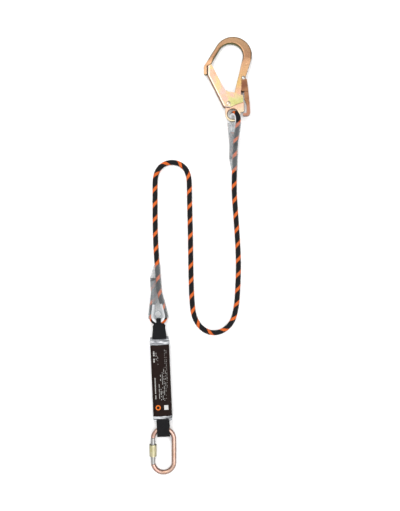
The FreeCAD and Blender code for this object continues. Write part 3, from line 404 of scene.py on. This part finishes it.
def gate_material():
    """The pressed gate: pink orange, greenish at its root, with a painted highlight along its fold and
    painted shade, dark red, on its steeper faces.
    """
    s = Shader("gate_zinc", (0.8, 0.55, 0.3), 0.27, 0.86)
    place = s.node("TexCoord", 3)
    along = s.node("SeparateXYZ", 1, i0=place)
    drift = s.noise(30.0, 3.0)
    top = s.ramp(drift, (0.36, (0.74, 0.42, 0.24)), (0.46, (0.78, 0.48, 0.36)), (0.55, (0.76, 0.56, 0.26)),
                 (0.66, (0.80, 0.50, 0.42)))
    root = s.ramp(drift, (0.38, (0.52, 0.50, 0.16)), (0.50, (0.66, 0.62, 0.28)), (0.60, (0.74, 0.46, 0.36)))
    near = s.node("MapRange", 0, Value=along, From_Min=0.352, From_Max=0.338, To_Min=0.0, To_Max=1.0)
    colour = s.mix(near, top, root)
    level = s.math("ABSOLUTE", s.node("SeparateXYZ", 2, i0=s.node("TexCoord", 1)))
    # painted highlight: a pale band on faces tilted slightly from straight up, along the fold
    ridge_highlight = s.math("MULTIPLY", s.math("GREATER_THAN", level, 0.80), s.math("LESS_THAN", level, 0.985))
    colour = s.mix(s.math("MULTIPLY", ridge_highlight, 0.8), colour, (0.90, 0.72, 0.66))
    # painted shade: faces that tilt further from straight up darken to dark red
    back = s.node("MapRange", 0, Value=level, From_Min=0.82, From_Max=0.55, To_Min=0.0, To_Max=0.85)
    colour = s.mix(back, colour, (0.26, 0.10, 0.045))
    s.put("Base Color", s.mix(DIM, colour, (0.0, 0.0, 0.0)))
    s.put("Roughness", s.math("ADD", s.math("MULTIPLY", s.noise(110.0, 4.0), 0.2), 0.18))
    s.put("Normal", s.bump(s.noise(500.0, 4.0), 0.00015, 0.5))
    return s.material


def steel_material(name, low, high, rough, grain=400.0):
    s = Shader(name, low, rough, 0.9)
    colour = s.mix(s.noise(40.0, 4.0), low, high)
    # painted dark reflection: side walls and rounded edges go nearly black
    colour = s.mix(s.math("MULTIPLY", wall_shade_factor(s, 0.1, 0.8), 0.75), colour, (0.05, 0.05, 0.055))
    s.put("Base Color", s.mix(DIM, colour, (0.0, 0.0, 0.0)))
    s.put("Normal", s.bump(s.noise(grain, 4.0), 0.0001, 0.5))
    return s.material


# ---------------------------------------------------------------- meshes
def add_mesh(name, verts, faces, material, uvs=None):
    mesh = bpy.data.meshes.new(name)
    mesh.from_pydata([tuple(v) for v in verts], [], faces)
    if uvs:
        layer = mesh.uv_layers.new(name="UVMap")
        for loop, uv in zip(layer.data, uvs):
            loop.uv = uv
    mesh.polygons.foreach_set("use_smooth", [True] * len(mesh.polygons))
    mesh.materials.append(material)
    mesh.update()
    piece = bpy.data.objects.new(name, mesh)
    bpy.context.scene.collection.objects.link(piece)
    return piece


def bake(piece):
    """Applies a piece's modifiers to its mesh."""
    graph = bpy.context.evaluated_depsgraph_get()
    mesh = bpy.data.meshes.new_from_object(piece.evaluated_get(graph))
    piece.modifiers.clear()
    piece.data = mesh


def spline_curve(name, points):
    """A smooth NURBS curve through a route's points."""
    data = bpy.data.curves.new(name, "CURVE")
    data.dimensions = "3D"
    data.resolution_u = 24
    spline = data.splines.new("NURBS")
    spline.points.add(len(points) - 1)
    for point, place in zip(spline.points, points):
        point.co = (*place, 1.0)
    spline.order_u = 3
    spline.use_endpoint_u = True
    return data


def spline_points(name, points):
    """Points along that curve."""
    data = spline_curve(name, points)
    holder = bpy.data.objects.new(name, data)
    bpy.context.scene.collection.objects.link(holder)
    graph = bpy.context.evaluated_depsgraph_get()
    mesh = bpy.data.meshes.new_from_object(holder.evaluated_get(graph))
    path = [v.co.copy() for v in mesh.vertices]
    bpy.data.objects.remove(holder)
    return path


def spaced(path, step):
    """The same path with evenly spaced points."""
    out = [path[0]]
    left = step
    for a, b in zip(path, path[1:]):
        run = (b - a).length
        done = 0.0
        while run - done >= left:
            done += left
            out.append(a.lerp(b, done / run))
            left = step
        left -= run - done
    if (out[-1] - path[-1]).length > step * 0.3:
        out.append(path[-1])
    else:
        out[-1] = path[-1]
    return out


class RopeRun:
    """Carries the lay of the rope from one stretch to the next."""

    def __init__(self, side):
        self.travel = 0.0
        self.side = side

    def tube(self, name, path, material, radius=ROPE_RADIUS, ring=28, caps=(False, False)):
        verts = []
        rows = []
        count = len(path)
        for i, place in enumerate(path):
            ahead = path[min(i + 1, count - 1)] - path[max(i - 1, 0)]
            ahead.normalize()
            self.side = (self.side - ahead * self.side.dot(ahead)).normalized()
            up = ahead.cross(self.side)
            if i:
                self.travel += (place - path[i - 1]).length
            rows.append(self.travel / ROPE_PITCH)
            for k in range(ring):
                angle = 2 * math.pi * k / ring
                verts.append(place + (self.side * math.cos(angle) + up * math.sin(angle)) * radius)
        faces = []
        uvs = []
        for i in range(count - 1):
            for k in range(ring):
                n = (k + 1) % ring
                faces.append((i * ring + k, i * ring + n, (i + 1) * ring + n, (i + 1) * ring + k))
                uvs += [(rows[i], k / ring), (rows[i], (k + 1) / ring),
                        (rows[i + 1], (k + 1) / ring), (rows[i + 1], k / ring)]
        for wanted, row in zip(caps, (0, count - 1)):
            if wanted:
                centre = len(verts)
                verts.append(path[row])
                for k in range(ring):
                    n = (k + 1) % ring
                    corner = (row * ring + k, row * ring + n)
                    corner = corner[::-1] if row == 0 else corner
                    faces.append((*corner, centre))
                    uvs += [(rows[row], k / ring)] * 3
        return add_mesh(name, verts, faces, material, uvs)


def thread(name, path, radius, material, ring=6):
    """A plain thin round thread along a path."""
    return RopeRun(Vector((0.3, 0.5, 0.8))).tube(name, path, material, radius, ring, (True, True))


# ---------------------------------------------------------------- rope and eyes
def eye_route(length, place):
    """Points of a sewn eye's line, from the tail's cut end round the bend to the free rope."""
    leg = [(LEG, 83.0), (LEG, 71.0), (LEG, 58.0), (7.0, 46.0), (9.2, 33.0), (11.7, 20.0), (14.3, 6.0)]
    route = [(-x, -y) for x, y in leg]
    for middle in (173.7, 140.2, 106.7, 73.3, 39.8, 6.3):
        angle = math.radians(middle)
        route.append((BEND_POINTS * math.cos(angle), BEND_POINTS * math.sin(angle)))
    route += [(x, -y) for x, y in reversed(leg[2:])]
    route += [(LEG, -75.0), (LEG, -length)]
    return [place @ (Vector((x, y, 0)) * MM) for x, y in route]


def sewing(name, place, material, body):
    """Zigzag sewing over the tail leg, on both faces, wider where the legs spread."""
    rows = 46
    first, run = 27.5, 48.5
    spread_from, spread_over = 58.0, 38.0
    for number, side in enumerate((1, -1)):
        path = []
        for row in range(rows):
            station = first + run * row / (rows - 1)
            shift = max(0.0, (spread_from - station) / spread_over) * 5.0
            span = range(9) if row % 2 else range(8, -1, -1)
            for k in span:
                x = -9.4 - shift * 0.55 + (8.8 + shift * 0.55) * k / 8
                centre = -LEG - shift * 0.72
                reach = max(0.0, 5.75 ** 2 - (x - centre) ** 2)
                z = side * max(math.sqrt(reach), 3.2)
                path.append(place @ (Vector((x, -station - 0.1 * k, z)) * MM))
        part = thread(f"{name}_{number}", path, 0.42 * MM, material)
        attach(part, body)
        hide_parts(name)


def build_rope(mats):
    """One rope in three stretches, with its lay carried from each to the next."""
    first = spaced(spline_points("eye_a", eye_route(HOOK_EYE_LENGTH, HOOK_END)), 1.1 * MM)
    middle = spaced(spline_points("route", [Vector(p) * MM for p in ROUTE]), 1.2 * MM)
    last = spaced(spline_points("eye_b", eye_route(ABSORBER_EYE_LENGTH, ABSORBER_END)), 1.1 * MM)[::-1]
    run = RopeRun(Vector((1, 0, 0.2)))
    eye_a = run.tube("rope_eye_hook", first, mats["rope"], caps=(True, False))
    free = run.tube("rope_free", middle, mats["rope"])
    eye_b = run.tube("rope_eye_absorber", last, mats["rope"], caps=(False, True))
    for piece, nodes in (
        (eye_a, ("hook_end_eye_sheath", "hook_end_eye_core")),
        (free, ("rope_sheath", "rope_core")),
        (eye_b, ("absorber_end_eye_sheath", "absorber_end_eye_core")),
    ):
        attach(piece, "rope")
        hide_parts(*nodes)


# ---------------------------------------------------------------- soft and clear pieces
def copy_of(node, name, material):
    """A new piece that starts from a CAD node's surface."""
    mesh = NODES[node].data.copy()
    mesh.materials.clear()
    mesh.materials.append(material)
    piece = bpy.data.objects.new(name, mesh)
    bpy.context.scene.collection.objects.link(piece)
    return piece


def remeshed(piece, size, smooth):
    """Even small faces, then a little smoothing."""
    mod = piece.modifiers.new("remesh", "REMESH")
    mod.mode = "VOXEL"
    mod.voxel_size = size
    mod.use_smooth_shade = True
    soft = piece.modifiers.new("soft", "SMOOTH")
    soft.factor = 0.5
    soft.iterations = smooth
    bake(piece)
    piece.data.polygons.foreach_set("use_smooth", [True] * len(piece.data.polygons))


def build_sleeve(end, place, window, side, mats):
    """The clear sleeve, slightly uneven, and the rim of its window this far behind the bend."""
    node = f"{end}_sleeve"
    piece = copy_of(node, f"clear_{end}", mats["sleeve"])
    mod = piece.modifiers.new("split", "SUBSURF")
    mod.subdivision_type = "SIMPLE"
    mod.levels = 2
    bake(piece)
    inverse = place.inverted()
    for v in piece.data.vertices:
        local = inverse @ v.co
        ripple = noise.noise(Vector((local.x * 60, local.y * 45, local.z * 60)))
        out = Vector((local.x, 0.0, local.z))
        if out.length > 1e-6:
            v.co = place @ (local + out.normalized() * ripple * 0.25 * MM)
    piece.data.polygons.foreach_set("use_smooth", [True] * len(piece.data.polygons))
    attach(piece, "rope")
    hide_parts(node)
    ring = []
    for k in range(49):
        angle = 2 * math.pi * k / 48
        x = WINDOW_RADIUS * math.cos(angle)
        y = WINDOW_RADIUS * math.sin(angle) - window
        ring.append(place @ (Vector((x, y, SLEEVE_HIGH * side)) * MM))
    rim = thread(f"window_rim_{end}", ring, 0.75 * MM, mats["rim"], 8)
    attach(rim, "rope")


def strap(name, line, widths, thick, material, folds=0.0):
    """A flat strap along a line of (place, normal) pairs; it crumples where its width shrinks."""
    steps = 28
    verts = []
    uvs = []
    faces = []
    travel = 0.0
    count = len(line)
    rows = []
    full = max(widths)
    for i, (place, normal) in enumerate(line):
        if i:
            travel += (place - line[i - 1][0]).length
        rows.append(travel)
        width = widths[i]
        crowd = 1 - width / full
        for k in range(steps + 1):
            t = k / steps * 2 - 1
            wave = math.sin(t * math.pi * 3.0) * crowd * folds
            edge = -abs(t) ** 6 * 0.15 * MM
            verts.append(place + Vector((1, 0, 0)) * t * width / 2 + normal * (wave + edge))
    for i in range(count - 1):
        for k in range(steps):
            a = i * (steps + 1) + k
            faces.append((a, a + 1, a + steps + 2, a + steps + 1))
            left = (k / steps - 0.5) * full
            right = ((k + 1) / steps - 0.5) * full
            uvs += [(left, rows[i]), (right, rows[i]), (right, rows[i + 1]), (left, rows[i + 1])]
    piece = add_mesh(name, verts, faces, material, uvs)
    solid = piece.modifiers.new("thick", "SOLIDIFY")
    solid.thickness = thick
    solid.offset = 0.0
    bevel = piece.modifiers.new("edge", "BEVEL")
    bevel.width = thick * 0.3
    bevel.segments = 2
    bevel.limit_method = "ANGLE"
    bake(piece)
    piece.data.polygons.foreach_set("use_smooth", [True] * len(piece.data.polygons))
    return piece


def loop_line(radius, near, centre, sign):
    """Middle line of a webbing U in the pack's YZ plane: leg, bend, leg."""
    legs = 16
    steps = 22
    line = []
    for k in range(legs):
        y = near + (centre - near) * k / legs
        line.append((Vector((0, y, -radius)) * MM, Vector((0, 0, -1))))
    for k in range(steps + 1):
        angle = math.pi * k / steps - math.pi / 2
        out = Vector((0, sign * math.cos(angle), math.sin(angle)))
        line.append((Vector((0, centre, 0)) * MM + out * radius * MM, out))
    for k in range(1, legs + 1):
        y = centre + (near - centre) * k / legs
        line.append((Vector((0, y, radius)) * MM, Vector((0, 0, 1))))
    return line


def upper_width(y):
    """Width of the upper webbing loop: bunched in the eye, a slight waist, flared at the pack."""
    t = min(1.0, max(0.0, (0.5 - y) / 6.0))
    t = t * t * (3 - 2 * t)
    flare = min(1.0, max(0.0, (-y - 16.0) / 12.0)) * 3.0
    waist = math.exp(-((y + 12.0) / 3.0) ** 2) * 1.5
    return BUNCHED + (WEBBING - BUNCHED) * t + flare - waist


def build_webbing(mats):
    """Both webbing loops and the folded tear webbing."""
    line = loop_line(UPPER_LOOP, -55.0, 0.0, 1)
    widths = [upper_width(place.y / MM) * MM for place, _ in line]
    upper = strap("webbing_upper", line, widths, 1.6 * MM, mats["webbing"], folds=0.35 * MM)
    line = loop_line(LOWER_LOOP, -187.3, -236.4, -1)
    lower = strap("webbing_lower", line, [WEBBING * MM] * len(line), 1.7 * MM, mats["webbing"])
    for piece, node in ((upper, "upper_webbing_loop"), (lower, "lower_webbing_loop")):
        piece.data.transform(PACK)
        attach(piece, "absorber")
        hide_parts(node)
    tear = copy_of("tear_webbing", "webbing_tear", mats["tear"])
    remeshed(tear, 0.9 * MM, 3)
    for v in tear.data.vertices:
        v.co.z += noise.noise(v.co * 70) * 0.25 * MM
    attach(tear, "absorber")
    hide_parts("tear_webbing")


def tack(name, node, start, z, mats):
    """Rows of sewing across a webbing loop, on both faces."""
    half = 10.5
    for side in (1, -1):
        path = []
        for row in range(4):
            y = start - 4.0 * row - 0.5
            span = range(13) if row % 2 else range(12, -1, -1)
            for k in span:
                x = -half + 2 * half * k / 12
                path.append(PACK @ (Vector((x, y + (0.7 if k % 2 else -0.7), side * z)) * MM))
        piece = thread(f"{name}_{side + 1}", path, 0.3 * MM, mats["thread"])
        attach(piece, "absorber")
        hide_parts(node)


def pack_tube(name, start, end, grow, crimp, material):
    """A rounded tube round the pack, wrinkled and drawn in near its ends."""
    rings = 150
    around = 96
    verts = []
    rows = []
    corner = PACK_CORNER - grow
    half = PACK_WIDTH / 2 - grow
    high = PACK_HEIGHT / 2 - grow
    straight = (2 * (half - corner), 2 * (high - corner))
    arc = math.pi / 2 * corner
    total = 2 * sum(straight) + 4 * arc
    for i in range(rings + 1):
        y = start + (end - start) * i / rings
        near = min(abs(y - start), abs(y - end))
        draw = max(0.0, 1 - near / 9.0) ** 1.5 * crimp
        for k in range(around):
            s = total * k / around
            x, z, out = section_point(s, half, high, corner, straight, arc)
            ripple = 0.5 + 0.5 * noise.noise(Vector((x * 0.22 + 9, y * 0.10, z * 0.22 + grow)))
            cross = 0.5 + 0.5 * noise.noise(Vector((x * 0.55, y * 0.45, z * 0.5 + 4)))
            inward = 0.10 + 0.55 * ripple * min(1.0, 0.35 + draw) + draw * (0.9 + 1.5 * cross)
            pinch = 1 - 0.16 * draw * (abs(z) / high)
            verts.append(Vector((x - out[0] * inward, y, (z - out[1] * inward) * pinch)) * MM)
        rows.append(y)
    faces = []
    uvs = []
    for i in range(rings):
        for k in range(around):
            n = (k + 1) % around
            ids = (i * around + k, i * around + n, (i + 1) * around + n, (i + 1) * around + k)
            faces.append(ids[::-1])
            for j in ids[::-1]:
                row = i if j < (i + 1) * around else i + 1
                uvs.append((verts[j].x, (rows[row] - rows[0]) * MM))
    piece = add_mesh(name, verts, faces, material, uvs)
    piece.data.transform(PACK)
    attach(piece, "absorber")
    return piece


def section_point(s, half, high, corner, straight, arc):
    """A point and outward direction on a rounded rectangle, s along its outline."""
    runs = (straight[0], arc, straight[1], arc, straight[0], arc, straight[1], arc)
    piece = 0
    while s > runs[piece] and piece < 7:
        s -= runs[piece]
        piece += 1
    w, h = straight[0] / 2, straight[1] / 2
    centres = ((w, -h), (w, h), (-w, h), (-w, -h))
    if piece % 2 == 0:
        t = s - runs[piece] / 2
        if piece == 0:
            return t, -high, (0, -1)
        if piece == 2:
            return half, t, (1, 0)
        if piece == 4:
            return -t, high, (0, 1)
        return -half, -t, (-1, 0)
    index = piece // 2
    angle = -math.pi / 2 + index * math.pi / 2 + s / corner
    cx, cz = centres[index]
    out = (math.cos(angle), math.sin(angle))
    return cx + corner * out[0], cz + corner * out[1], out


def build_pack(mats):
    """The printed wrap, the film over it, and the sewing of both loops inside."""
    under_film = 0.75
    label = pack_tube("wrap_label", PACK_BOTTOM + BAND_LOW, PACK_TOP - BAND_HIGH, under_film, 0.0,
                      mats["label"])
    film = pack_tube("wrap_film", PACK_BOTTOM + 0.3, PACK_TOP - 0.3, 0.0, 1.0, mats["film"])
    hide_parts("absorber_label")
    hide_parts("absorber_cover")
    tack("tack_upper", "upper_loop_stitching", PACK_TOP - 5.0, 10.95, mats)
    tack("tack_lower", "lower_loop_stitching", PACK_BOTTOM + 20.0, 9.3, mats)


# ---------------------------------------------------------------- build
add_camera()
add_world()
add_light("key", 22.0, (-0.7, 0.9, 1.6), 1.4)
add_light("fill", 16.0, (0.9, -0.6, 1.5), 1.6)

# the fifth tone of each is the painted dark reflection on side walls and rounded edges
LEVER = ((0.20, 0.07, 0.04), (0.40, 0.19, 0.09), (0.48, 0.22, 0.15), (0.22, 0.18, 0.06), (0.03, 0.02, 0.01))
BAR = ((0.66, 0.38, 0.26), (0.88, 0.60, 0.48), (0.78, 0.44, 0.38), (0.62, 0.50, 0.32), (0.10, 0.035, 0.018))
COLLAR = ((0.80, 0.72, 0.36), (0.94, 0.90, 0.58), (0.90, 0.78, 0.50), (0.78, 0.82, 0.44), (0.12, 0.10, 0.03))
MATS = {
    "rope": rope_material(),
    "thread": thread_material(),
    "thimble": thimble_material(),
    "sleeve": clear_material("clear_sleeve", (0.42, 0.44, 0.45), 0.06, 0.55, 0.22),
    "rim": clear_material("clear_rim", (0.34, 0.37, 0.39), 0.75, 0.95, 0.2),
    "film": film_material(),
    "webbing": webbing_material(),
    "tear": webbing_material(),
    "label": label_material(),
    "hook": hook_material(),
    "gate": gate_material(),
    "lever": zinc_material("lever_zinc", LEVER),
    "rivet": steel_material("rivet_zinc", (0.52, 0.52, 0.50), (0.74, 0.73, 0.70), 0.3),
    "spring": steel_material("spring_steel", (0.40, 0.41, 0.43), (0.62, 0.63, 0.65), 0.28),
    "bar": zinc_material("bar_plating", BAR, 0.24, 34.0, (0.2, 0.93), 0.95),
    "tube": steel_material("gate_steel", (0.50, 0.50, 0.50), (0.70, 0.69, 0.67), 0.34),
    "collar": zinc_material("collar_zinc", COLLAR, 0.34, 60.0, (0.15, 0.95), 0.95),
}
CARRIED = {
    "hook_end_thimble": "thimble", "absorber_end_thimble": "thimble",
    "hook_body": "hook", "hook_gate": "gate", "hook_lock_lever": "lever",
    "hook_gate_rivet": "gate", "hook_lever_rivet": "rivet",
    "hook_gate_spring": "spring", "hook_lever_spring": "spring",
    "carabiner_body": "bar", "carabiner_gate": "tube", "carabiner_screw_collar": "collar",
    "carabiner_latch_pin": "rivet", "carabiner_gate_rivet": "rivet",
    "carabiner_gate_plunger": "rivet", "carabiner_gate_spring": "spring",
}
for node_name, mat_name in CARRIED.items():
    NODES[node_name].data.materials.clear()
    NODES[node_name].data.materials.append(MATS[mat_name])

build_rope(MATS)
sewing("hook_end_stitching", HOOK_END, MATS["thread"], "rope")
sewing("absorber_end_stitching", ABSORBER_END, MATS["thread"], "rope")
build_sleeve("hook_end", HOOK_END, 16.0, 1, MATS)
build_sleeve("absorber_end", ABSORBER_END, 4.2, -1, MATS)
build_webbing(MATS)
build_pack(MATS)

floor = add_mesh(
    "floor", [(-6, -6, 0), (6, -6, 0), (6, 6, 0), (-6, 6, 0)], [(0, 1, 2, 3)],
    Shader("floor", (0.93, 0.93, 0.93), 0.9).material,
)

bpy.context.scene.view_settings.view_transform = "Standard"
